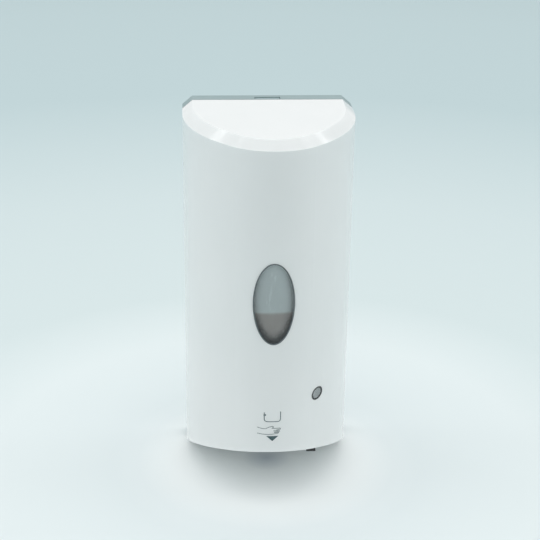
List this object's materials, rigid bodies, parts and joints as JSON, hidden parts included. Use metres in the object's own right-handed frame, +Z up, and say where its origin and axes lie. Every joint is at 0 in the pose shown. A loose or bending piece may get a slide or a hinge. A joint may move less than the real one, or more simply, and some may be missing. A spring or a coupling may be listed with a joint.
{
  "type": "wall mounted soap dispenser",
  "caption": "Touchless wall dispenser with a glossy D-shaped cover, oval level window, lift-out reservoir and a geared roller pump behind a slanted underside.",
  "frame": {"origin": "centre of the rectangle of four wall screw holes, on the plane of the wall", "axes": "+X to the viewer's right, +Y into the wall, +Z up"},
  "size_m": [0.125, 0.115, 0.28],
  "materials": {
    "cover_white": "high gloss moulded ABS",
    "plate_grey": "satin moulded ABS",
    "housing_white": "fine texture ABS",
    "smoked_clear": "polished smoked polycarbonate",
    "clear": "polished clear acrylic",
    "tank_clear": "frosted blow moulded polypropylene",
    "soap": "clear liquid",
    "black_gloss": "gloss",
    "rim_grey": "gloss",
    "black_plastic": "satin",
    "cap_blue": "satin",
    "nozzle_grey": "satin",
    "silicone": "translucent silicone",
    "seal_black": "nitrile rubber",
    "steel": "bright zinc plated or stainless",
    "nickel": "nickel plated",
    "brass": "sintered bearing bronze and brass",
    "gear_white": "acetal",
    "pump_black": "glass filled nylon",
    "board_green": "solder resist",
    "component_dark": "moulded component bodies",
    "led_clear": "clear epoxy",
    "ir_dark": "dark epoxy",
    "red_filter": "infrared pass filter",
    "lead_red": "wire insulation",
    "cell_wrap": "plain printed cell wrap"
  },
  "bodies": {
    "wall_unit": {"wall_plate": "plate_grey", "cover_hinge_pins": "steel", "latch_spring": "steel", "drive_housing": "housing_white", "housing_screws": "steel", "reservoir_deck": "housing_white", "deck_screws": "steel", "battery_box": "housing_white", "battery_cells": "cell_wrap", "battery_springs": "nickel", "contact_plates": "nickel", "motor_can": "steel", "motor_end_cap": "black_plastic", "motor_plate": "steel", "shaft_bush": "brass", "gear_axles": "steel", "gearbox_spacers": "brass", "gearbox_screws": "steel", "pump_body": "pump_black", "pump_cover": "clear", "pump_tube": "silicone", "nozzle": "nozzle_grey", "duckbill_valve": "silicone", "control_board": "board_green", "control_chip": "black_plastic", "board_components": "component_dark", "status_led": "led_clear", "sensor_window": "red_filter", "sensor_board": "board_green", "ir_emitter": "led_clear", "ir_receiver": "ir_dark", "switch_body": "black_plastic", "motor_leads": "lead_red", "battery_leads": "lead_red"},
    "cover": {"front_cover": "cover_white", "window_lens": "smoked_clear", "window_rim": "rim_grey", "indicator_ring": "black_gloss", "indicator_lens": "clear"},
    "latch": {"latch_slide": "plate_grey"},
    "battery_lid": {"battery_door": "housing_white"},
    "reservoir_unit": {"reservoir": "tank_clear", "soap_liquid": "soap", "neck_seal": "seal_black", "outlet_valve": "silicone"},
    "cap": {"filler_cap": "cap_blue", "cap_seal": "silicone"},
    "switch_knob": {"power_knob": "black_plastic"},
    "rotor": {"rotor_shaft": "steel", "output_gear": "gear_white", "pump_rotor": "gear_white", "roller_pins": "steel"},
    "roller_1": {"pump_roller_1": "gear_white"},
    "roller_2": {"pump_roller_2": "gear_white"},
    "roller_3": {"pump_roller_3": "gear_white"},
    "second_compound_gear": {"second_gear": "gear_white"},
    "first_compound_gear": {"first_gear": "gear_white"},
    "motor_rotor": {"motor_shaft": "steel", "motor_pinion": "brass"}
  },
  "joints": [
    {"name": "cover_hinge", "type": "hinge", "parent": "wall_unit", "child": "cover", "pos_m": [0, -0.017, -0.184], "axis": [1, 0, 0], "range_deg": [0, 95]},
    {"name": "latch_press", "type": "slide", "parent": "wall_unit", "child": "latch", "axis": [0, 0, -1], "range_m": [0, 0.004], "stiffness_N_per_m": 400, "springref_m": -0.003, "deforming": ["latch_spring"]},
    {"name": "battery_door_slide", "type": "slide", "parent": "wall_unit", "child": "battery_lid", "axis": [0, -1, 0], "range_m": [0, 0.004]},
    {"name": "reservoir_lift", "type": "slide", "parent": "wall_unit", "child": "reservoir_unit", "axis": [0, 0, 1], "range_m": [0, 0.012]},
    {"name": "cap_turn", "type": "hinge", "parent": "reservoir_unit", "child": "cap", "pos_m": [0, -0.06, 0.06], "axis": [0, 0, 1], "range_deg": [0, 90]},
    {"name": "power_slide", "type": "slide", "parent": "wall_unit", "child": "switch_knob", "axis": [0, 0.922, -0.3872], "range_m": [0, 0.004]},
    {"name": "rotor_spin", "type": "hinge", "parent": "wall_unit", "child": "rotor", "pos_m": [-0.014, -0.06, -0.128], "axis": [0, 1, 0], "continuous": true},
    {"name": "second_gear_spin", "type": "hinge", "parent": "wall_unit", "child": "second_compound_gear", "pos_m": [-0.00148, -0.057, -0.12077], "axis": [0, 1, 0], "continuous": true},
    {"name": "first_gear_spin", "type": "hinge", "parent": "wall_unit", "child": "first_compound_gear", "pos_m": [0.01104, -0.054, -0.128], "axis": [0, 1, 0], "continuous": true},
    {"name": "motor_spin", "type": "hinge", "parent": "wall_unit", "child": "motor_rotor", "pos_m": [0.01104, -0.052, -0.14246], "axis": [0, 1, 0], "continuous": true},
    {"name": "roller_1_spin", "type": "hinge", "parent": "rotor", "child": "roller_1", "pos_m": [-0.00915, -0.067, -0.1196], "axis": [0, 1, 0], "continuous": true},
    {"name": "roller_2_spin", "type": "hinge", "parent": "rotor", "child": "roller_2", "pos_m": [-0.0237, -0.067, -0.128], "axis": [0, 1, 0], "continuous": true},
    {"name": "roller_3_spin", "type": "hinge", "parent": "rotor", "child": "roller_3", "pos_m": [-0.00915, -0.067, -0.1364], "axis": [0, 1, 0], "continuous": true}
  ],
  "couplings": [
    {"joint": "second_gear_spin", "follows": "rotor_spin", "ratio": -3},
    {"joint": "first_gear_spin", "follows": "rotor_spin", "ratio": 9},
    {"joint": "motor_spin", "follows": "rotor_spin", "ratio": -27},
    {"joint": "roller_1_spin", "follows": "rotor_spin", "ratio": -3.425},
    {"joint": "roller_2_spin", "follows": "rotor_spin", "ratio": -3.425},
    {"joint": "roller_3_spin", "follows": "rotor_spin", "ratio": -3.425}
  ]
}
